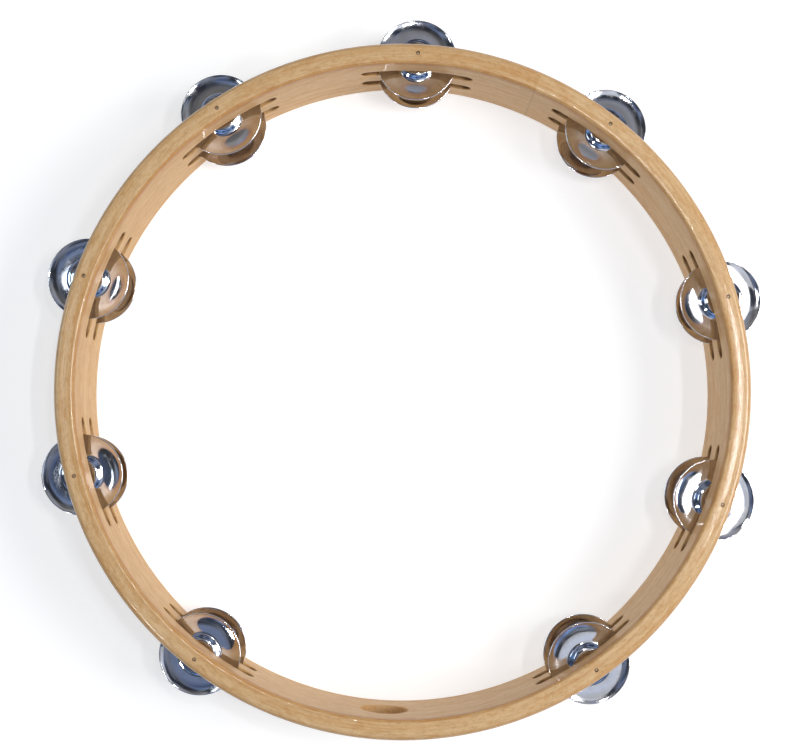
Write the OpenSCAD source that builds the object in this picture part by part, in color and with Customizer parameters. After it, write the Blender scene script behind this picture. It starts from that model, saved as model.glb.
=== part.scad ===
// Headless tambourine: a bent wood hoop with nine stations of two loose jingles each.
// Millimetres, +Z up. The origin is on the hoop's axis, on the plane of its back edge.
// The front edge faces +Z and the finger hole faces -Y. The tambourine lies on its back edge.

/* [Hoop] */
// Outside diameter of the hoop
hoop_d = 254; // [240:1:300]
// Thickness of the hoop's wall, both plies together
wall = 7.5; // [7:0.5:9]
// Height of the hoop, from its back edge to its front edge
hoop_h = 45; // [44:1:60]
// Radius that rounds the wall's two outer edges
outer_edge_r = 2.2; // [1.5:0.1:2.8]
// Radius that rounds its two inner edges, which are left sharper
inner_edge_r = 1.4; // [1:0.1:2.8]
// Thickness of the inner ply
ply = 0.6; // [0.4:0.1:0.9]
// Diameter of the finger hole
finger_hole_d = 18; // [12:1:22]

/* [Slots] */
// Height of each slot along the hoop's axis
slot_h = 6; // [5:0.1:7]
// Depth of the first slot's centre below the front edge
slot_drop = 15.5; // [13:0.1:17]
// Distance between the centres of a station's two slots
slot_pitch = 14.3; // [12:0.1:16]
// Length of each slot along the wall, between its round ends
slot_len = 42; // [38:1:46]

/* [Jingles] */
// Outside diameter of a jingle
jingle_d = 30.5; // [26:0.5:32]
// Thickness of a jingle's sheet metal
sheet = 0.5; // [0.4:0.05:0.6]
// Diameter of the hole in the middle of a jingle
jingle_hole_d = 6.4; // [6:0.1:7]
// Diameter of the flat crown round that hole, on top of the bell
crown_d = 9.2; // [8:0.1:10]
// Diameter of the bell at its foot
bell_d = 16.8; // [16:0.1:19]
// Diameter of the flat ring round that foot, outside which the brim rises
flat_d = 22; // [20:0.5:24]
// Steepest slope of the bell's side, in degrees
bell_slope = 28; // [20:1:36]
// Slope of the brim at the rim, in degrees
rim_slope = 16; // [12:1:18]

/* [Pins] */
// Diameter of a pin
pin_d = 1.4; // [1.2:0.1:2.4]
// Depth of the pin's head below the front edge
pin_sunk = 0.5; // [0.3:0.1:1]
// Height of the pin's point above the back edge
pin_tip = 5; // [3:0.5:8]

/* [Hidden] */
// Smoothness of every circle
$fn = 96;
// Steps along each arc of a jingle's profile
arc_steps = 8;
// Room for the glue round a pin, on the radius
pin_gap = 0.02;
// Room under a resting jingle and over a lifted one
rest_gap = 0.15;
// How far a cutting tool runs past the surface that it cuts
over = 5;

// Nine stations sit on a ten-place circle: place 0 is opposite the finger hole, which is place 5
places = 10;
hole_place = 5;
STATIONS = [1:9];
// How far the whole set of stations is turned from the finger hole, clockwise, in degrees
stations_turn = -1.2;
// Each station's own error from the even pitch, clockwise, in degrees, as hand drilling leaves it
station_error = [0.5, 0, 0.1, -0.1, -0.6, -0.5, 1, -0.6, 0.4];
// Direction in which each jingle lies off its pin's centre, clockwise from +Y, in degrees
front_side = [-10, 20, 70, 20, -85, -170, -80, -70, -20];
back_side = [-15, -65, 95, -15, -35, 65, -115, -85, 145];
// How far it lies off that centre, as a share of the play that its hole leaves it
front_share = [0.65, 0.6, 0.35, 0.45, 0.2, 0.2, 0.2, 0.75, 0.5];
back_share = [0.65, 0.6, 0.65, 0.85, 0.75, 0.3, 0.4, 0.5, 0.25];

outer_r = hoop_d / 2;
inner_r = outer_r - wall;
ply_r = inner_r + ply;
pin_circle_r = outer_r - wall / 2;

// Heights of the slots' centres above the back edge
front_slot_z = hoop_h - slot_drop;
back_slot_z = front_slot_z - slot_pitch;

// Play of a jingle round its pin, to each side
play = (jingle_hole_d - pin_d) / 2;

// Jingle profile: a flat crown, a bell side of two equal arcs that meet half-way down, a flat
// ring and a brim arc that rises to the rim. They run into each other without a crease.
crown_r = crown_d / 2;
bell_r = bell_d / 2;
flat_r = flat_d / 2;
side_arc_r = (bell_r - crown_r) / 2 / sin(bell_slope);
brim_arc_r = (jingle_d / 2 - flat_r) / sin(rim_slope) - sheet;
crown_z = sheet + 2 * side_arc_r * (1 - cos(bell_slope));
shoulder_centre = [crown_r, crown_z - side_arc_r];
foot_centre = [bell_r, sheet + side_arc_r];
brim_centre = [flat_r, sheet + brim_arc_r];

// Angle of station i, clockwise from +Y as seen from the front
function station_angle(i) =
    (i - 1 + (i > hole_place ? 1 : 0)) * 360 / places + stations_turn + station_error[i - 1];

// Points of an arc about a centre, from angle a1 to a2, measured from straight up. The first
// point is left out when the arc runs on from another one.
function arc(centre, r, a1, a2, runs_on = true) = [
    for (k = [(runs_on ? 1 : 0):arc_steps])
        let (a = a1 + (a2 - a1) * k / arc_steps)
        centre + r * [sin(a), cos(a)]
];

// Moves its children from the hoop's axis to the middle of the wall at station i
module at_station(i) {
    rotate([0, 0, -station_angle(i)]) translate([0, pin_circle_r, 0]) children();
}

// The two round corners of the wall's section that are centred on radius r
module round_corners(r, corner_r) {
    for (z = [corner_r, hoop_h - corner_r]) translate([r, z]) circle(corner_r);
}

// Section of the wall between radii r1 and r2, with its edges rounded
module wall_section(r1, r2) {
    intersection() {
        union() {
            translate([inner_r + inner_edge_r, 0])
                square([wall - inner_edge_r - outer_edge_r, hoop_h]);
            translate([inner_r, inner_edge_r])
                square([wall / 2, hoop_h - 2 * inner_edge_r]);
            translate([pin_circle_r, outer_edge_r])
                square([wall / 2, hoop_h - 2 * outer_edge_r]);
            round_corners(inner_r + inner_edge_r, inner_edge_r);
            round_corners(outer_r - outer_edge_r, outer_edge_r);
        }
        translate([r1, -over]) square([r2 - r1, hoop_h + 2 * over]);
    }
}

// Outline of a slot with round ends, centred
module slot_outline() {
    straight = slot_len - slot_h;
    square([straight, slot_h], center = true);
    for (x = [-straight / 2, straight / 2]) translate([x, 0]) circle(d = slot_h);
}

// All the slots, milled through the wall
module slot_cuts() {
    for (i = STATIONS, z = [front_slot_z, back_slot_z])
        at_station(i)
            translate([0, wall / 2 + over, z])
                rotate([90, 0, 0])
                    linear_extrude(wall + 3 * over) slot_outline();
}

// The finger hole, drilled through the wall along Y
module finger_hole_cut() {
    translate([0, over - inner_r, hoop_h / 2])
        rotate([90, 0, 0])
            cylinder(d = finger_hole_d, h = wall + 2 * over);
}

// The blind holes that hold the pins
module pin_hole_cuts() {
    for (i = STATIONS)
        at_station(i)
            translate([0, 0, pin_tip])
                cylinder(d = pin_d + 2 * pin_gap, h = hoop_h);
}

// The bent wood band, without its inner ply
module hoop_shell() {
    color("burlywood") difference() {
        rotate_extrude() wall_section(ply_r, outer_r + over);
        slot_cuts();
        finger_hole_cut();
        pin_hole_cuts();
    }
}

// The thin ply glued to the inside of the band
module inner_ply() {
    color("tan") difference() {
        rotate_extrude() wall_section(inner_r - over, ply_r);
        slot_cuts();
        finger_hole_cut();
    }
}

// A plain steel pin, driven from the front edge and blind in the back of the wall
module pin(i) {
    color("dimgray") at_station(i)
        translate([0, 0, pin_tip])
            cylinder(d = pin_d, h = hoop_h - pin_sunk - pin_tip);
}

// Section of a jingle's sheet, from the crown's top out to the rim and back along the underside
module jingle_section() {
    half_turn = 180;
    upper = concat(
        arc(shoulder_centre, side_arc_r, 0, bell_slope, runs_on = false),
        arc(foot_centre, side_arc_r, half_turn + bell_slope, half_turn),
        arc(brim_centre, brim_arc_r, half_turn, half_turn - rim_slope, runs_on = false)
    );
    lower = concat(
        arc(brim_centre, brim_arc_r + sheet, half_turn - rim_slope, half_turn, runs_on = false),
        arc(foot_centre, side_arc_r + sheet, half_turn, half_turn + bell_slope, runs_on = false),
        arc(shoulder_centre, side_arc_r - sheet, bell_slope, 0)
    );
    bore_edge = [[jingle_hole_d / 2, crown_z - sheet], [jingle_hole_d / 2, crown_z]];
    polygon(concat(upper, lower, bore_edge));
}

// A pressed jingle on the floor of its slot, with its bell and its hollow brim to the front
module jingle(i, slot_z, side, share) {
    color("silver")
        at_station(i)
            rotate([0, 0, station_angle(i) - side])
                translate([0, share * play, slot_z - slot_h / 2 + rest_gap])
                    rotate_extrude() jingle_section();
}

hoop_shell();
inner_ply();
for (i = STATIONS) {
    pin(i);
    jingle(i, front_slot_z, front_side[i - 1], front_share[i - 1]);
    jingle(i, back_slot_z, back_side[i - 1], back_share[i - 1]);
}
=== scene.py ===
"""Looks of the headless tambourine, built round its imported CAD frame. Metres, +Z up."""
import math
import random

import bmesh
import bpy
from mathutils import Matrix, Vector, noise


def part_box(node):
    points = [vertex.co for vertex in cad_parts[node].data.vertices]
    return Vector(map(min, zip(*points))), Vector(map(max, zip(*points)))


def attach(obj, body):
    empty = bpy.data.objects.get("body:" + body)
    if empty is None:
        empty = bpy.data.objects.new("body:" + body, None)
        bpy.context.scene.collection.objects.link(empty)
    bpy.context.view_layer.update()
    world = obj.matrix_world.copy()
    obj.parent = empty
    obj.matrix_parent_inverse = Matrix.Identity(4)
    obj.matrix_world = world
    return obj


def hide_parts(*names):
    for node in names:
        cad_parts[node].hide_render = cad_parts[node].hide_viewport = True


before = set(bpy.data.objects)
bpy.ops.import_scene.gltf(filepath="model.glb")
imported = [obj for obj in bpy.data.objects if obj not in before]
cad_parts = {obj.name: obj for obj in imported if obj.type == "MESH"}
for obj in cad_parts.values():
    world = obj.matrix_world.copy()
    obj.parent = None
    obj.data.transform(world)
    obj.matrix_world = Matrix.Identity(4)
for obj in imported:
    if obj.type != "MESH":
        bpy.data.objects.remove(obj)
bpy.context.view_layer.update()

MM = 0.001
SEED = 11

# ---------------------------------------------------------------- sizes
STATIONS = range(1, 10)
WALL = 7.5 * MM
OUTER_EDGE_R = 2.2 * MM
INNER_EDGE_R = 1.4 * MM
PLY = 0.6 * MM
SLOT_H = 6 * MM
SLOT_LEN = 42 * MM
REST_GAP = 0.15 * MM
PIN_GAP = 0.02 * MM
FINGER_HOLE_R = 9 * MM
SHEET = 0.5 * MM

hoop_low, hoop_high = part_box("hoop_shell")
OUTER_R = max(hoop_high.x - hoop_low.x, hoop_high.y - hoop_low.y) / 2
HOOP_H = hoop_high.z
INNER_R = OUTER_R - WALL
PLY_R = INNER_R + PLY
MID_R = OUTER_R - WALL / 2
# The flat of the front and back faces, between their roundings
FACE_IN = INNER_R + INNER_EDGE_R
FACE_OUT = OUTER_R - OUTER_EDGE_R

# Detail that only the visual model has: how far the faces fall off from their middle, half the width
# of the groove at the glue line, and how far the mouths of the slots and the finger hole are eased
CROWN = 0.09 * MM
GROOVE = 0.05 * MM
EASE = 0.35 * MM


# ---------------------------------------------------------------- mesh helpers
# Points and edges closer than this are joined after a cut
SLIVER = 0.002 * MM


def new_object(name, mesh):
    """A new object in the scene that holds a mesh."""
    piece = bpy.data.objects.new(name, mesh)
    bpy.context.scene.collection.objects.link(piece)
    return piece


def mesh_from(name, vertices, faces):
    """A mesh from lists of points and faces."""
    mesh = bpy.data.meshes.new(name)
    mesh.from_pydata(vertices, [], faces)
    mesh.validate()
    return mesh


def arc(cx, cz, radius, start, end, steps):
    """Points of an arc in a section, from start to end in degrees."""
    turns = [math.radians(start + (end - start) * k / steps) for k in range(steps + 1)]
    return [(cx + radius * math.cos(t), cz + radius * math.sin(t)) for t in turns]


def lathe(name, section, columns):
    """Closed surface swept round Z from a closed section of (radius, z) points."""
    rows = len(section)
    vertices = []
    for c in range(columns):
        turn = 2 * math.pi * c / columns
        vertices += [(r * math.cos(turn), r * math.sin(turn), z) for r, z in section]
    faces = []
    for c in range(columns):
        a, b = c * rows, (c + 1) % columns * rows
        for k in range(rows):
            n = (k + 1) % rows
            faces.append((a + k, b + k, b + n, a + n))
    return mesh_from(name, vertices, faces)


def tube_faces(rings, sides):
    """Faces of a tube of so many rings of points, closed at both ends."""
    faces = []
    for ring in range(rings - 1):
        a, b = ring * sides, (ring + 1) * sides
        for k in range(sides):
            n = (k + 1) % sides
            faces.append((a + k, a + n, b + n, b + k))
    faces.append(tuple(reversed(range(sides))))
    faces.append(tuple(range((rings - 1) * sides, rings * sides)))
    return faces


def turned_solid(section, sides, x=0.0, y=0.0):
    """Points and faces of a solid turned round an upright axis from (radius, z) points."""
    vertices = []
    for r, z in section:
        for k in range(sides):
            turn = 2 * math.pi * k / sides
            vertices.append((x + r * math.cos(turn), y + r * math.sin(turn), z))
    return vertices, tube_faces(len(section), sides)


def outward(mesh):
    """Makes every face of a closed mesh face outwards."""
    bm = bmesh.new()
    bm.from_mesh(mesh)
    bmesh.ops.recalc_face_normals(bm, faces=bm.faces)
    bm.to_mesh(mesh)
    bm.free()


def clean(mesh):
    """Takes away the slivers that a cut leaves where its edges nearly meet."""
    bm = bmesh.new()
    bm.from_mesh(mesh)
    bmesh.ops.remove_doubles(bm, verts=bm.verts, dist=SLIVER)
    bmesh.ops.dissolve_degenerate(bm, edges=bm.edges, dist=SLIVER)
    bm.to_mesh(mesh)
    bm.free()


def smooth_by_angle(mesh, degrees):
    """Smooth shading, with the edges that turn more than this many degrees left sharp."""
    limit = math.radians(degrees)
    bm = bmesh.new()
    bm.from_mesh(mesh)
    for face in bm.faces:
        face.smooth = True
    for edge in bm.edges:
        edge.smooth = len(edge.link_faces) == 2 and edge.calc_face_angle(0.0) < limit
    bm.to_mesh(mesh)
    bm.free()


# ---------------------------------------------------------------- material helpers
class Nodes:
    """A short way to write a node tree."""

    def __init__(self, tree):
        self.tree = tree
        tree.nodes.clear()

    def add(self, kind, inputs=None, **settings):
        """A node with its settings, and each input linked or given a value."""
        node = self.tree.nodes.new(kind)
        for key, value in settings.items():
            setattr(node, key, value)
        for key, value in (inputs or {}).items():
            self.feed(node.inputs[key], value)
        return node

    def feed(self, socket, value):
        """Links a socket to another node's output, or gives it a value."""
        if isinstance(value, bpy.types.NodeSocket):
            self.tree.links.new(value, socket)
        else:
            socket.default_value = value

    def math(self, operation, a, b=0.0, clamp=False):
        """A sum on one or two numbers."""
        node = self.add("ShaderNodeMath", {0: a, 1: b}, operation=operation)
        node.use_clamp = clamp
        return node.outputs[0]

    def length(self, x, y):
        """Distance of a point from the Z axis."""
        return self.math("SQRT", self.math("ADD", self.math("MULTIPLY", x, x), self.math("MULTIPLY", y, y)))

    def mix(self, share, a, b):
        """Colour a where the share is 0, b where it is 1."""
        return self.add("ShaderNodeMix", {0: share, 6: a, 7: b}, data_type="RGBA").outputs[2]

    def noise(self, where, detail, rough, twist=0.0):
        """Noise of 0 to 1 at scaled coordinates."""
        node = self.add("ShaderNodeTexNoise", {
            "Vector": where, "Scale": 1.0, "Detail": detail, "Roughness": rough, "Distortion": twist})
        return node.outputs["Fac"]

    def step(self, value, low, high, to_low=0.0, to_high=1.0):
        """A smooth step from to_low to to_high as the value goes from low to high."""
        node = self.add("ShaderNodeMapRange", {
            "Value": value, "From Min": low, "From Max": high, "To Min": to_low, "To Max": to_high},
            interpolation_type="SMOOTHSTEP")
        return node.outputs[0]

    def stretch(self, where, x, y, z):
        """Coordinates scaled on each axis."""
        return self.add("ShaderNodeVectorMath", {0: where, 1: (x, y, z)}, operation="MULTIPLY").outputs[0]

    def bump(self, strength, depth, height, **below):
        """A normal tilted by a height, over another normal if one is given."""
        inputs = {"Strength": strength, "Distance": depth, "Height": height, **below}
        return self.add("ShaderNodeBump", inputs).outputs[0]


def rgb(red, green, blue):
    """A colour from sRGB values of 0 to 255, as Blender's linear colour."""
    def linear(v):
        v /= 255
        return v / 12.92 if v <= 0.04045 else ((v + 0.055) / 1.055) ** 2.4
    return (linear(red), linear(green), linear(blue), 1.0)


def material(name):
    """A new material, its node tree and its shader."""
    made = bpy.data.materials.new(name)
    made.use_nodes = True
    n = Nodes(made.node_tree)
    out = n.add("ShaderNodeOutputMaterial")
    shader = n.add("ShaderNodeBsdfPrincipled")
    n.tree.links.new(shader.outputs[0], out.inputs[0])
    return made, n, shader


# ---------------------------------------------------------------- wood
# Base, dark and pale tones of the band, of its inner ply and of the raw wood in its cuts
BEECH = rgb(214, 174, 124), rgb(164, 120, 72), rgb(226, 190, 142)
PLY_BEECH = rgb(210, 170, 114), rgb(182, 140, 88), rgb(218, 180, 126)
CUT_BEECH = rgb(208, 164, 112), rgb(160, 116, 72), rgb(216, 174, 124)
HONEY = rgb(192, 134, 66)
CREAM = rgb(228, 192, 140)
PORE = rgb(104, 70, 38)
STAIN = rgb(194, 134, 62)
GLUE = rgb(158, 92, 34)
# Colour of the darker orange band on the inner wall just under the front rounding
UNDER_EDGE_TONE = rgb(176, 112, 52)
# Colour of the painted shade on the front edge's outer rounding
PAINTED_EDGE_SHADE = rgb(166, 118, 66)
JOINT = rgb(120, 84, 48)
# Colour of the painted shade in the slots' round ends
SLOT_END_SHADE = rgb(92, 58, 32)
# Where the scarf joint closes the band, clockwise from +Y
SCARF_ANGLE = math.radians(20.6)
# How strongly the scarf joint shows on the band and on its inner ply
BAND_SEAM = 0.0
PLY_SEAM = 0.3
# How much of the lacquer's gloss each has
BAND_COAT = 1.0
PLY_COAT = 0.12


def unrolled(n):
    """Coordinates along the bent band, (arc length, radius, height), cut at the scarf joint."""
    place = n.add("ShaderNodeTexCoord").outputs["Object"]
    turned = n.add("ShaderNodeVectorRotate", {"Vector": place, "Angle": SCARF_ANGLE + math.pi / 2},
                   rotation_type="Z_AXIS").outputs[0]
    x, y, z = n.add("ShaderNodeSeparateXYZ", {0: turned}).outputs
    radius = n.length(x, y)
    along = n.math("MULTIPLY", n.math("ARCTAN2", y, x), MID_R)
    where = n.add("ShaderNodeCombineXYZ", {0: along, 1: radius, 2: z}).outputs[0]
    return where, along, radius, z


def wood_colour(n, where, tones):
    """Colour of beech: long fibres, faint growth bands, short ray flecks and pores."""
    base, dark, pale = tones
    bands = n.noise(n.stretch(where, 9, 320, 260), 4, 0.55, twist=0.6)
    fibres = n.noise(n.stretch(where, 160, 2000, 1800), 4, 0.65)
    flecks = n.noise(n.stretch(where, 700, 1900, 1700), 3, 0.65)
    pores = n.noise(n.stretch(where, 1300, 3000, 2800), 1, 0.5)
    blotch = n.noise(n.stretch(where, 190, 480, 480), 5, 0.7)
    speckle = n.noise(n.stretch(where, 900, 1500, 1500), 2, 0.6)
    colour = n.mix(n.step(bands, 0.35, 0.7), base, pale)
    colour = n.mix(n.step(blotch, 0.42, 0.68, 0.0, 0.55), colour, HONEY)
    colour = n.mix(n.step(speckle, 0.4, 0.75, 0.0, 0.35), colour, CREAM)
    colour = n.mix(n.step(fibres, 0.48, 0.72, 0.0, 0.45), colour, dark)
    colour = n.mix(n.step(flecks, 0.52, 0.70, 0.0, 0.35), colour, dark)
    colour = n.mix(n.step(pores, 0.66, 0.76, 0.0, 0.25), colour, PORE)
    return colour, fibres, flecks


def glue_line(n, radius, ragged, broken):
    """Share of the glue's colour: a broken, ragged line where the two plies meet."""
    off = n.math("ABSOLUTE", n.math("SUBTRACT", radius, PLY_R))
    reach = n.step(ragged, 0.3, 0.75, 0.12 * MM, 0.35 * MM)
    line = n.math("SUBTRACT", 1.0, n.math("DIVIDE", off, reach), clamp=True)
    return n.math("MULTIPLY", line, n.step(broken, 0.35, 0.6, 0.05, 0.4))


def under_edge_band(n, radius, below, ragged, broken):
    """Share of a darker orange band on the inner wall, just under the front rounding."""
    fade = n.step(below, 0.5 * MM, n.step(ragged, 0.3, 0.7, 2.0 * MM, 6.0 * MM), 0.6, 0.0)
    rub = n.math("MULTIPLY", fade, n.step(radius, INNER_R + 0.35 * MM, INNER_R + 0.15 * MM))
    return n.math("MULTIPLY", rub, n.step(broken, 0.3, 0.6, 0.5, 1.0))


def edge_shade_share(n, radius, below):
    """Share of painted shade on the front edge's outer rounding, where it turns away from the light."""
    outer = n.step(radius, FACE_OUT + 0.6 * MM, OUTER_R - 0.2 * MM, 0.0, 0.4)
    near_front = n.step(below, OUTER_EDGE_R * 0.7, OUTER_EDGE_R * 1.6, 1.0, 0.0)
    return n.math("MULTIPLY", outer, near_front)


def scarf_line(n, along, most):
    """Share of the joint's colour: a fine line where the band's ends meet."""
    off = n.math("ABSOLUTE", n.math("SUBTRACT", n.math("ABSOLUTE", along), math.pi * MID_R))
    return n.step(off, 0.10 * MM, 0.40 * MM, most, 0.0)


def lacquered_wood(name, tones, coat, seam):
    """Clear-lacquered beech, stained, with a darker orange band under its inner edge and painted shade on
    its outer rounding.
    """
    made, n, shader = material(name)
    where, along, radius, z = unrolled(n)
    below = n.math("SUBTRACT", HOOP_H - INNER_EDGE_R, z)
    ragged = n.noise(n.stretch(where, 260, 400, 400), 4, 0.7)
    broken = n.noise(n.stretch(where, 120, 90, 90), 3, 0.7)
    streak = n.noise(n.stretch(where, 22, 900, 500), 4, 0.65)
    colour, fibres, flecks = wood_colour(n, where, tones)
    colour = n.mix(n.step(streak, 0.46, 0.66, 0.0, 0.42), colour, STAIN)
    colour = n.mix(glue_line(n, radius, ragged, broken), colour, GLUE)
    # A darker orange band on the inner wall, just under the front rounding
    colour = n.mix(under_edge_band(n, radius, below, ragged, broken), colour, UNDER_EDGE_TONE)
    # Painted shade on the outer rounding of the front face
    colour = n.mix(edge_shade_share(n, radius, below), colour, PAINTED_EDGE_SHADE)
    colour = n.mix(scarf_line(n, along, seam), colour, JOINT)
    n.feed(shader.inputs["Base Color"], colour)
    n.feed(shader.inputs["Roughness"], n.step(fibres, 0.3, 0.8, 0.42, 0.62))
    shader.inputs["Specular IOR Level"].default_value = 0.2
    shader.inputs["Coat Weight"].default_value = coat
    shader.inputs["Coat Roughness"].default_value = 0.09
    shader.inputs["Coat IOR"].default_value = 1.45
    relief = n.math("ADD", n.math("MULTIPLY", fibres, 0.7), n.math("MULTIPLY", flecks, -0.6))
    grain = n.bump(0.5, 0.06 * MM, relief)
    orange_peel = n.noise(n.stretch(where, 620, 900, 900), 2, 0.55)
    n.feed(shader.inputs["Normal"], grain)
    n.feed(shader.inputs["Coat Normal"], n.bump(0.5, 0.07 * MM, orange_peel, Normal=grain))
    return made


def cut_wood(name):
    """Raw wood inside the slots and the finger hole, with painted shade at the slots' round ends."""
    made, n, shader = material(name)
    where = unrolled(n)[0]
    colour, fibres, _ = wood_colour(n, where, CUT_BEECH)
    uneven = n.noise(n.stretch(where, 160, 300, 300), 3, 0.6)
    # Painted shade: darker wood at the slots' round ends, and a little along the rest of each slot
    slot_shade_share = n.add("ShaderNodeAttribute", attribute_name="slot_shade").outputs["Fac"]
    slot_shade_share = n.math("MULTIPLY", slot_shade_share, n.step(uneven, 0.2, 0.7, 0.75, 1.15), clamp=True)
    colour = n.mix(n.math("MULTIPLY", slot_shade_share, 0.9), colour, SLOT_END_SHADE)
    n.feed(shader.inputs["Base Color"], colour)
    n.feed(shader.inputs["Roughness"], n.step(fibres, 0.3, 0.8, 0.55, 0.75))
    shader.inputs["Specular IOR Level"].default_value = 0.3
    n.feed(shader.inputs["Normal"], n.bump(0.6, 0.1 * MM, fibres))
    return made


# ---------------------------------------------------------------- metal
NICKEL = rgb(226, 226, 232)
DULL_NICKEL = rgb(196, 192, 190)
STEEL = rgb(166, 146, 120)
RUSTY_STEEL = rgb(118, 90, 60)
# How little the turning rings change round a jingle, in metres per radian
RING_DRIFT = 0.0004


def nickel(name):
    """Polished plate over pressed steel: fine turning rings, hairline scratches and smudges."""
    made, n, shader = material(name)
    place = n.add("ShaderNodeTexCoord").outputs["Object"]
    x, y, _ = n.add("ShaderNodeSeparateXYZ", {0: place}).outputs
    drift = n.math("MULTIPLY", n.math("ARCTAN2", y, x), RING_DRIFT)
    ring_place = n.add("ShaderNodeCombineXYZ", {0: n.length(x, y), 1: drift}).outputs[0]
    rings = n.noise(n.stretch(ring_place, 3800, 900, 1), 2, 0.6)
    smudge = n.noise(n.stretch(place, 220, 220, 220), 4, 0.6)
    scratch_a = n.noise(n.stretch(place, 300, 9000, 300), 1, 0.5)
    scratch_b = n.noise(n.stretch(place, 9000, 420, 300), 1, 0.5)
    hairs = n.math("MAXIMUM", n.step(scratch_a, 0.70, 0.76), n.step(scratch_b, 0.70, 0.76))
    n.feed(shader.inputs["Base Color"], n.mix(n.step(smudge, 0.45, 0.8, 0.0, 0.5), NICKEL, DULL_NICKEL))
    shader.inputs["Metallic"].default_value = 1.0
    rough = n.math("ADD", n.step(smudge, 0.4, 0.8, 0.045, 0.16), n.math("MULTIPLY", hairs, 0.05))
    n.feed(shader.inputs["Roughness"], rough)
    height = n.math("ADD", n.math("MULTIPLY", rings, 0.6), n.math("MULTIPLY", hairs, -0.12))
    n.feed(shader.inputs["Normal"], n.bump(0.18, 0.02 * MM, height))
    return made


def pin_steel(name):
    """Drawn steel wire with specks of rust."""
    made, n, shader = material(name)
    place = n.add("ShaderNodeTexCoord").outputs["Object"]
    drawn = n.noise(n.stretch(place, 6000, 6000, 300), 3, 0.6)
    rust = n.noise(n.stretch(place, 900, 900, 500), 4, 0.65)
    n.feed(shader.inputs["Base Color"], n.mix(n.step(rust, 0.5, 0.75, 0.0, 0.7), STEEL, RUSTY_STEEL))
    shader.inputs["Metallic"].default_value = 0.6
    n.feed(shader.inputs["Roughness"], n.step(drawn, 0.3, 0.7, 0.28, 0.5))
    n.feed(shader.inputs["Normal"], n.bump(0.4, 0.02 * MM, drawn))
    return made


# ---------------------------------------------------------------- hoop
HOOP_COLUMNS = 360
EDGE_STEPS = 14
FACE_STEPS = 10
SLOT_END_STEPS = 14
FINGER_HOLE_STEPS = 32
PIN_HOLE_SIDES = 24
# Width of the pin holes' chamfer, and how far its wide end stands over the face
PIN_HOLE_EASE = 0.1 * MM
PIN_HOLE_OVER = 0.02 * MM
# How far the cutters run past the wall. A slot's cutter ends in a flat that cuts the corner of the
# curved wall, so outside it ends well clear.
CLEAR_INSIDE = 1.5 * MM
CLEAR_OUTSIDE = 4 * MM
CLEAR_ABOVE = 2 * MM
# How the cutters flare at the wall's two surfaces: (distance outwards from the surface, flare)
INNER_MOUTH = [(-CLEAR_INSIDE, 1.3 * EASE), (0.0, 0.72 * EASE), (0.35 * EASE, 0.3 * EASE), (EASE, 0.0)]
OUTER_MOUTH = [(-EASE, 0.0), (-0.35 * EASE, 0.3 * EASE), (0.0, 0.72 * EASE), (CLEAR_OUTSIDE, 1.3 * EASE)]
# A face this deep in the wall, this far from the front and back and off the glue line is a cut one
SKIN = 0.3 * MM
EDGE_BAND = 2.5 * MM
ON_LINE = 0.01 * MM
# How far from a slot's middle its painted shade starts to grow, and how much painted shade there is before
# that
SLOT_END_SHADE_START = 16 * MM
SLOT_END_SHADE_LEAST = 0.08
# Edges of the cut wood that turn more than this stay sharp, in degrees
WOOD_SHARP = 35


def crowned(r, z):
    """Lowers a point of the front or back face by how far the sanded face falls off from its middle."""
    share = min(1.0, abs(r - (FACE_IN + FACE_OUT) / 2) / ((FACE_OUT - FACE_IN) / 2))
    fall = CROWN * share ** 2
    return (r, z - fall if z > HOOP_H / 2 else z + fall)


def hoop_section(r1, r2):
    """Section of the wall between two radii, from the bottom up the outside, with rounded edges."""
    face = [FACE_OUT + (FACE_IN - FACE_OUT) * k / FACE_STEPS for k in range(1, FACE_STEPS)]
    whole = (arc(FACE_OUT, OUTER_EDGE_R, OUTER_EDGE_R, -90, 0, EDGE_STEPS)
             + arc(FACE_OUT, HOOP_H - OUTER_EDGE_R, OUTER_EDGE_R, 0, 90, EDGE_STEPS)
             + [(r, HOOP_H) for r in face]
             + arc(FACE_IN, HOOP_H - INNER_EDGE_R, INNER_EDGE_R, 90, 180, EDGE_STEPS)
             + arc(FACE_IN, INNER_EDGE_R, INNER_EDGE_R, 180, 270, EDGE_STEPS)
             + [(r, 0.0) for r in reversed(face)])
    return [crowned(r, z) for r, z in whole if r1 < r < r2]


def edge_depth(radius):
    """How far the rounded inner edge lies below the front face at this radius."""
    off = max(0.0, FACE_IN - radius)
    return CROWN + INNER_EDGE_R - math.sqrt(max(0.0, INNER_EDGE_R ** 2 - off ** 2))


def shell_section():
    """Section of the band without its inner ply, with its half of the groove at the glue line."""
    kept = hoop_section(PLY_R + GROOVE * 1.5, 2 * OUTER_R)
    drop = edge_depth(PLY_R + GROOVE)
    groove = [(PLY_R + GROOVE, HOOP_H - drop), (PLY_R, HOOP_H - drop - GROOVE)]
    mirrored = [(r, HOOP_H - z) for r, z in reversed(groove)]
    split = max(i for i, (r, z) in enumerate(kept) if z > HOOP_H / 2) + 1
    return kept[:split] + groove + mirrored + kept[split:]


def ply_section():
    """Section of the inner ply, with its half of the groove."""
    kept = hoop_section(0.0, PLY_R - GROOVE * 1.5)
    drop = edge_depth(PLY_R - GROOVE)
    groove = [(PLY_R, HOOP_H - drop - GROOVE), (PLY_R - GROOVE, HOOP_H - drop)]
    mirrored = [(r, HOOP_H - z) for r, z in reversed(groove)]
    return groove + kept + mirrored


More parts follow.
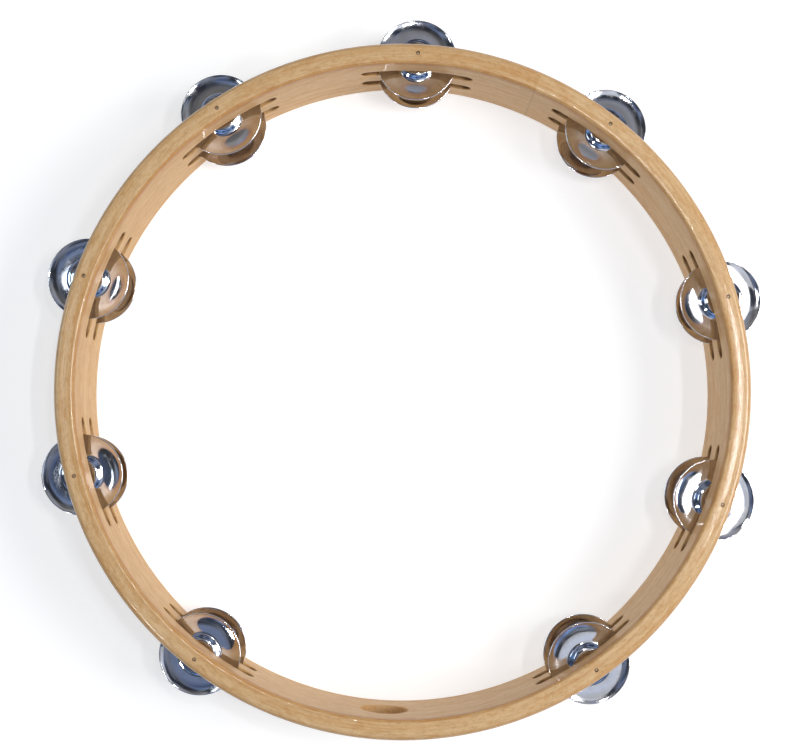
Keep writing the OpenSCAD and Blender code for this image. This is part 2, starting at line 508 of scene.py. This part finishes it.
def wall_cutter(half_height, half_straight, turn, z, arc_steps):
    """A cutter through the wall at an angle clockwise from +Y. Its mouths flare, which eases the edges."""
    rings = [(INNER_R + off, flare) for off, flare in INNER_MOUTH]
    rings += [(OUTER_R + off, flare) for off, flare in OUTER_MOUTH]
    vertices = []
    for radius, flare in rings:
        reach = half_height + flare
        outline = arc(half_straight, 0, reach, -90, 90, arc_steps)
        outline += arc(-half_straight, 0, reach, 90, 270, arc_steps)
        if half_straight == 0:
            outline = arc(0, 0, reach, 0, 360, 2 * arc_steps)[:-1]
        for x, up in outline:
            deep = math.sqrt(radius ** 2 - x ** 2)
            vertices.append((x * math.cos(turn) + deep * math.sin(turn),
                             -x * math.sin(turn) + deep * math.cos(turn), z + up))
    return vertices, tube_faces(len(rings), len(vertices) // len(rings))


def pin_hole_cutter(i):
    """A cutter for station i's blind pin hole, with a small chamfer at the front face."""
    low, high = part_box(f"pin_{i}")
    place = (low + high) / 2
    hole_r = (high.x - low.x) / 2 + PIN_GAP
    eased_r = hole_r + PIN_HOLE_EASE
    section = [(hole_r, low.z), (hole_r, HOOP_H - PIN_HOLE_EASE), (eased_r, HOOP_H + PIN_HOLE_OVER),
               (eased_r, HOOP_H + CLEAR_ABOVE)]
    return turned_solid(section, PIN_HOLE_SIDES, place.x, place.y)


def station_turn(i):
    """Angle of station i clockwise from +Y, from its pin."""
    low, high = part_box(f"pin_{i}")
    place = (low + high) / 2
    return math.atan2(place.x, place.y)


def all_cutters(with_pins):
    """One mesh that holds the slots' cutters, the finger hole's and, if asked, the pin holes'."""
    cutters = []
    for i in STATIONS:
        for row in ("front", "back"):
            slot_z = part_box(f"{row}_jingle_{i}")[0].z - REST_GAP + SLOT_H / 2
            half_straight = (SLOT_LEN - SLOT_H) / 2
            cutters.append(wall_cutter(SLOT_H / 2, half_straight, station_turn(i), slot_z, SLOT_END_STEPS))
    cutters.append(wall_cutter(FINGER_HOLE_R, 0, math.pi, HOOP_H / 2, FINGER_HOLE_STEPS))
    if with_pins:
        cutters += [pin_hole_cutter(i) for i in STATIONS]
    vertices, faces = [], []
    for points, loops in cutters:
        start = len(vertices)
        vertices += points
        faces += [tuple(start + k for k in loop) for loop in loops]
    mesh = mesh_from("cutters", vertices, faces)
    outward(mesh)
    return mesh


def is_cut(centre):
    """Whether a face of the band with this centre is one that a cutter left."""
    r = math.hypot(centre.x, centre.y)
    deep = INNER_R + SKIN < r < OUTER_R - SKIN and EDGE_BAND < centre.z < HOOP_H - EDGE_BAND
    return deep and abs(r - PLY_R) > ON_LINE


def mark_slot_shade(mesh):
    """Writes how much painted shade each point gets: a little along each slot, most at its round ends where
    shade falls, and none at the finger hole."""
    slot_shade = mesh.attributes.new("slot_shade", "FLOAT", "POINT")
    turns = [station_turn(i) for i in STATIONS]
    for v in mesh.vertices:
        turn = math.atan2(v.co.x, v.co.y)
        off = min(abs((turn - t + math.pi) % (2 * math.pi) - math.pi) for t in turns)
        along = MID_R * math.sin(min(off, math.pi / 2))
        end = min(1.0, max(0.0, (along - SLOT_END_SHADE_START) / (SLOT_LEN / 2 - SLOT_END_SHADE_START)))
        end_shade = SLOT_END_SHADE_LEAST + (1 - SLOT_END_SHADE_LEAST) * end
        slot_shade.data[v.index].value = end_shade if along < SLOT_LEN / 2 + MM else 0.0


def hoop_part(name, section, with_pins, surface, raw):
    """A lathed part of the band with the slots and holes cut through it."""
    mesh = lathe(name, section, HOOP_COLUMNS)
    outward(mesh)
    piece = new_object(name, mesh)
    cutter = new_object(name + "_cutter", all_cutters(with_pins))
    cut = piece.modifiers.new("slots", "BOOLEAN")
    cut.operation = "DIFFERENCE"
    cut.solver = "EXACT"
    cut.object = cutter
    depsgraph = bpy.context.evaluated_depsgraph_get()
    done = bpy.data.meshes.new_from_object(piece.evaluated_get(depsgraph))
    piece.modifiers.clear()
    piece.data = done
    done.name = name
    bpy.data.objects.remove(cutter)
    clean(done)
    done.materials.clear()
    done.materials.append(surface)
    done.materials.append(raw)
    for face in done.polygons:
        face.material_index = 1 if is_cut(face.center) else 0
    mark_slot_shade(done)
    smooth_by_angle(done, WOOD_SHARP)
    weighted = piece.modifiers.new("normals", "WEIGHTED_NORMAL")
    weighted.keep_sharp = True
    weighted.weight = 100
    return piece


# ---------------------------------------------------------------- jingles
JINGLE_COLUMNS = 144
JINGLE_STEP = 0.1 * MM
RIM_STEPS = 10
BORE_STEPS = 8
HOLE_R = 3.2 * MM
CROWN_R = 4.6 * MM
BELL_R = 8.4 * MM
BELL_SLOPE = math.radians(28)
RIM_SLOPE = math.radians(16)
# How late the brim curls up: 1 is an even curve from the bell's foot, more keeps a flat ring round it
BRIM_CURL = 2.2
LIP = 0.5 * MM
LIP_SLOPE = math.radians(14)
# The warp lifts and lowers the rim in so many waves round it, each of a random size between these
WARP_WAVES = (2, 3)
WARP_LEAST = 0.01 * MM
WARP_MOST = 0.03 * MM
# Height and closeness of the fine dents, and how far apart jingles may lie in the dents' noise
DENT = 0.007 * MM
DENTS_PER_METRE = 260
NOISE_SPAN = 50
# Edges of the sheet that turn more than this stay sharp, in degrees
SHEET_SHARP = 60


def jingle_slope(r, jingle_r):
    """Slope of the pressed sheet: flat crown, S-shaped bell side, brim that curls up to a lip."""
    waist = (CROWN_R + BELL_R) / 2
    if r < CROWN_R:
        return 0.0
    if r < waist:
        return -math.asin(math.sin(BELL_SLOPE) * (r - CROWN_R) / (waist - CROWN_R))
    if r < BELL_R:
        return -math.asin(math.sin(BELL_SLOPE) * (BELL_R - r) / (BELL_R - waist))
    rise = RIM_SLOPE * ((r - BELL_R) / (jingle_r - BELL_R)) ** BRIM_CURL
    return rise + LIP_SLOPE * max(0.0, (r - jingle_r + LIP) / LIP)


def jingle_section(jingle_r):
    """Closed section of a jingle's sheet, round at the rim and at the hole, with its foot at z = 0."""
    half = SHEET / 2
    line, r, z = [], HOLE_R + half, 0.0
    while r < jingle_r - half:
        slope = jingle_slope(r, jingle_r)
        line.append((r, z, slope))
        z += JINGLE_STEP * math.tan(slope)
        r += JINGLE_STEP
    foot = min(z for r, z, slope in line) - half
    line = [(r, z - foot, slope) for r, z, slope in line]
    upper = [(r - half * math.sin(t), z + half * math.cos(t)) for r, z, t in line]
    lower = [(r + half * math.sin(t), z - half * math.cos(t)) for r, z, t in line]
    r, z, t = line[-1]
    rim = arc(r, z, half, 90 + math.degrees(t), -90 + math.degrees(t), RIM_STEPS)[1:-1]
    r, z, t = line[0]
    bore = arc(r, z, half, 270, 90, BORE_STEPS)[1:-1]
    return upper + rim + list(reversed(lower)) + bore


def make_jingle(row, i, metal):
    """A pressed jingle that stands for its CAD node, a little warped as pressed ones are."""
    node = f"{row}_jingle_{i}"
    low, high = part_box(node)
    jingle_r = max(high.x - low.x, high.y - low.y) / 2
    mesh = lathe(node + "_plate", jingle_section(jingle_r), JINGLE_COLUMNS)
    rng = random.Random(SEED * 100 + i * 2 + (row == "back"))
    warp = [(k, rng.uniform(WARP_LEAST, WARP_MOST), rng.uniform(0, 2 * math.pi)) for k in WARP_WAVES]
    offset = Vector((rng.uniform(0, NOISE_SPAN), rng.uniform(0, NOISE_SPAN), 0))
    for v in mesh.vertices:
        turn = math.atan2(v.co.y, v.co.x)
        share = max(0.0, (math.hypot(v.co.x, v.co.y) - BELL_R) / (jingle_r - BELL_R))
        lift = sum(size * math.cos(k * turn + phase) for k, size, phase in warp) * share
        dent = DENT * noise.noise(v.co * DENTS_PER_METRE + offset)
        v.co.z += lift + dent + DENT
    outward(mesh)
    smooth_by_angle(mesh, SHEET_SHARP)
    mesh.materials.append(metal)
    piece = new_object(node + "_plate", mesh)
    piece.location = ((low.x + high.x) / 2, (low.y + high.y) / 2, low.z)
    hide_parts(node)
    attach(piece, node)
    return piece


# ---------------------------------------------------------------- pins
PIN_SIDES = 32
PIN_SHARP = 40
# A pin's ends close in to a small flat of this radius
PIN_FLAT_R = 0.05 * MM
# A pin's point, as (share of its radius, height), and its rounded top, as (share, depth below the top)
PIN_POINT = [(0.8, 1.6 * MM), (1.0, 2.4 * MM)]
PIN_TOP = [(1.0, 0.3 * MM), (0.92, 0.12 * MM), (0.7, 0.0)]


def make_pin(i, steel):
    """A steel pin that stands for its CAD node, with a blunt point and a rounded top."""
    node = f"pin_{i}"
    low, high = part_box(node)
    r = (high.x - low.x) / 2
    top = high.z - low.z
    point = [(share * r, height) for share, height in PIN_POINT]
    head = [(share * r, top - depth) for share, depth in PIN_TOP]
    section = [(PIN_FLAT_R, 0.0), *point, *head, (PIN_FLAT_R, top)]
    mesh = mesh_from(node + "_wire", *turned_solid(section, PIN_SIDES))
    outward(mesh)
    smooth_by_angle(mesh, PIN_SHARP)
    mesh.materials.append(steel)
    piece = new_object(node + "_wire", mesh)
    piece.location = ((low.x + high.x) / 2, (low.y + high.y) / 2, low.z)
    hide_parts(node)
    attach(piece, "hoop")
    return piece


# ---------------------------------------------------------------- build
shell_wood = lacquered_wood("lacquered_beech", BEECH, BAND_COAT, BAND_SEAM)
ply_wood = lacquered_wood("lacquered_ply", PLY_BEECH, PLY_COAT, PLY_SEAM)
raw_wood = cut_wood("cut_beech")
plate = nickel("nickel_plate")
steel = pin_steel("drawn_steel")

shell = hoop_part("hoop_shell_wood", shell_section(), True, shell_wood, raw_wood)
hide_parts("hoop_shell")
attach(shell, "hoop")
facing = hoop_part("inner_ply_wood", ply_section(), False, ply_wood, raw_wood)
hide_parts("inner_ply")
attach(facing, "hoop")
for i in STATIONS:
    make_pin(i, steel)
    make_jingle("front", i, plate)
    make_jingle("back", i, plate)


# ---------------------------------------------------------------- stage
FLOOR_HALF = 4.0
FLOOR_GLOW = 0.56
FLOOR_TONES = rgb(203, 203, 203), rgb(209, 209, 209)
# Lamps that look at the origin: name, place, width along X, depth along Y, power in watts, colour.
# The narrow ones on the right give the metal its arcs of light.
LAMPS = [
    ("tube_right", (0.37, 0.04, 1.2), 0.03, 0.24, 2.2, (1.0, 0.99, 0.97)),
    ("softbox_right", (0.36, 0.04, 1.2), 0.14, 0.36, 0.2, (1.0, 0.99, 0.97)),
    ("panel_right", (0.20, -0.12, 1.2), 0.20, 0.44, 0.14, (0.95, 0.98, 1.0)),
    ("key_right", (0.80, 0.02, 0.85), 0.45, 0.55, 8.4, (1.0, 0.98, 0.95)),
    ("softbox_left", (-0.425, 0.05, 1.2), 0.04, 0.26, 0.24, (0.80, 0.90, 1.0)),
    ("fill_left", (-1.0, 0.10, 0.75), 0.40, 0.40, 1.6, (0.72, 0.92, 0.95)),
    ("fill_lower_left", (-0.42, -0.40, 0.95), 0.08, 0.08, 0.8, (1.0, 0.98, 0.96)),
    ("small_top", (0.05, 0.08, 0.70), 0.03, 0.03, 0.36, (1.0, 1.0, 1.0)),
]
# The room round the studio: the upward part of a ray's direction, and its colour there
ROOM = [
    (0.0, (0.30, 0.29, 0.28)), (0.30, (0.12, 0.12, 0.13)), (0.58, (0.04, 0.055, 0.09)),
    (0.75, (0.09, 0.17, 0.36)), (0.86, (0.16, 0.27, 0.52)), (0.93, (0.16, 0.21, 0.31)),
    (0.972, (0.17, 0.19, 0.23)), (0.99, (0.10, 0.14, 0.24)), (1.0, (0.07, 0.10, 0.19)),
]
OLIVE = (0.17, 0.165, 0.135, 1.0)
WARM = (0.25, 0.21, 0.16, 1.0)
# The camera's lens and nearest distance, where it is and what it looks at, and its up direction
FOCAL_LENGTH = 69.56
SENSOR_WIDTH = 36
NEAREST = 0.01
EYE = Vector((-1.32, -20.35, 605.7)) * MM
AIM = Vector((-1.21, 3.94, 45)) * MM
CAMERA_UP = Vector((-0.0575, 0.9983, 0))


def looking(place, aim, up):
    """Matrix of a lamp or camera at a place that looks at another, turned by its up direction."""
    place = Vector(place)
    back = (place - aim).normalized()
    right = up.cross(back).normalized()
    turn = Matrix((right, back.cross(right), back)).transposed()
    return Matrix.Translation(place) @ turn.to_4x4()


def floor():
    """A plain pale floor that glows a little, so that shadows on it stay light."""
    made, n, shader = material("pale_floor")
    place = n.add("ShaderNodeTexCoord").outputs["Object"]
    mottle = n.noise(n.stretch(place, 6, 6, 6), 3, 0.5)
    n.feed(shader.inputs["Base Color"], n.mix(mottle, *FLOOR_TONES))
    shader.inputs["Roughness"].default_value = 0.9
    shader.inputs["Specular IOR Level"].default_value = 0.1
    shader.inputs["Emission Color"].default_value = (1.0, 1.0, 1.0, 1.0)
    shader.inputs["Emission Strength"].default_value = FLOOR_GLOW
    corners = [(-1, -1), (1, -1), (1, 1), (-1, 1)]
    mesh = mesh_from("floor", [(x * FLOOR_HALF, y * FLOOR_HALF, 0) for x, y in corners], [(0, 1, 2, 3)])
    mesh.materials.append(made)
    new_object("floor", mesh)


def area_light(name, place, width, depth, power, colour):
    """A rectangular lamp that looks at the origin, with its width along X and its depth along Y."""
    data = bpy.data.lights.new(name, "AREA")
    data.shape = "RECTANGLE"
    data.size = width
    data.size_y = depth
    data.energy = power
    data.color = colour
    lamp = bpy.data.objects.new(name, data)
    bpy.context.scene.collection.objects.link(lamp)
    lamp.matrix_world = looking(place, Vector((0, 0, 0)), Vector((0, 1, 0)))


def room():
    """The dim, patchy room that the metal mirrors: bluish overhead, warmer towards +Y."""
    world = bpy.data.worlds.new("studio")
    bpy.context.scene.world = world
    world.use_nodes = True
    n = Nodes(world.node_tree)
    ray = n.add("ShaderNodeTexCoord").outputs["Generated"]
    _, far, up = n.add("ShaderNodeSeparateXYZ", {0: ray}).outputs
    drift = n.noise(n.stretch(ray, 2.2, 2.2, 2.2), 2, 0.5)
    patches = n.noise(n.stretch(ray, 5.0, 5.0, 5.0), 2, 0.5)
    olive = n.noise(n.stretch(ray, 3.4, 3.4, 3.4), 1, 0.5)
    bent = n.math("ADD", up, n.math("MULTIPLY", n.math("SUBTRACT", drift, 0.5), 0.08))
    ramp = n.add("ShaderNodeValToRGB", {0: bent})
    stops = ramp.color_ramp.elements
    for stop, (height, colour) in zip(stops, (ROOM[0], ROOM[-1])):
        stop.position = height
        stop.color = (*colour, 1)
    for height, colour in ROOM[1:-1]:
        stops.new(height).color = (*colour, 1)
    tone = n.mix(n.step(olive, 0.48, 0.66, 0.0, 0.5), ramp.outputs[0], OLIVE)
    tone = n.mix(n.step(far, 0.10, 0.26, 0.0, 0.3), tone, WARM)
    strength = n.step(patches, 0.38, 0.66, 0.22, 1.6)
    back = n.add("ShaderNodeBackground", {"Color": tone, "Strength": strength})
    out = n.add("ShaderNodeOutputWorld")
    n.tree.links.new(back.outputs[0], out.inputs[0])


def camera():
    """The camera, over the front and a little tilted, at the photo's viewing angle."""
    data = bpy.data.cameras.new("view")
    data.sensor_width = SENSOR_WIDTH
    data.lens = FOCAL_LENGTH
    data.clip_start = NEAREST
    view = bpy.data.objects.new("view", data)
    bpy.context.scene.collection.objects.link(view)
    view.matrix_world = looking(EYE, AIM, CAMERA_UP)
    bpy.context.scene.camera = view


floor()
room()
for lamp in LAMPS:
    area_light(*lamp)
camera()
bpy.context.scene.view_settings.view_transform = "Standard"
bpy.context.view_layer.update()
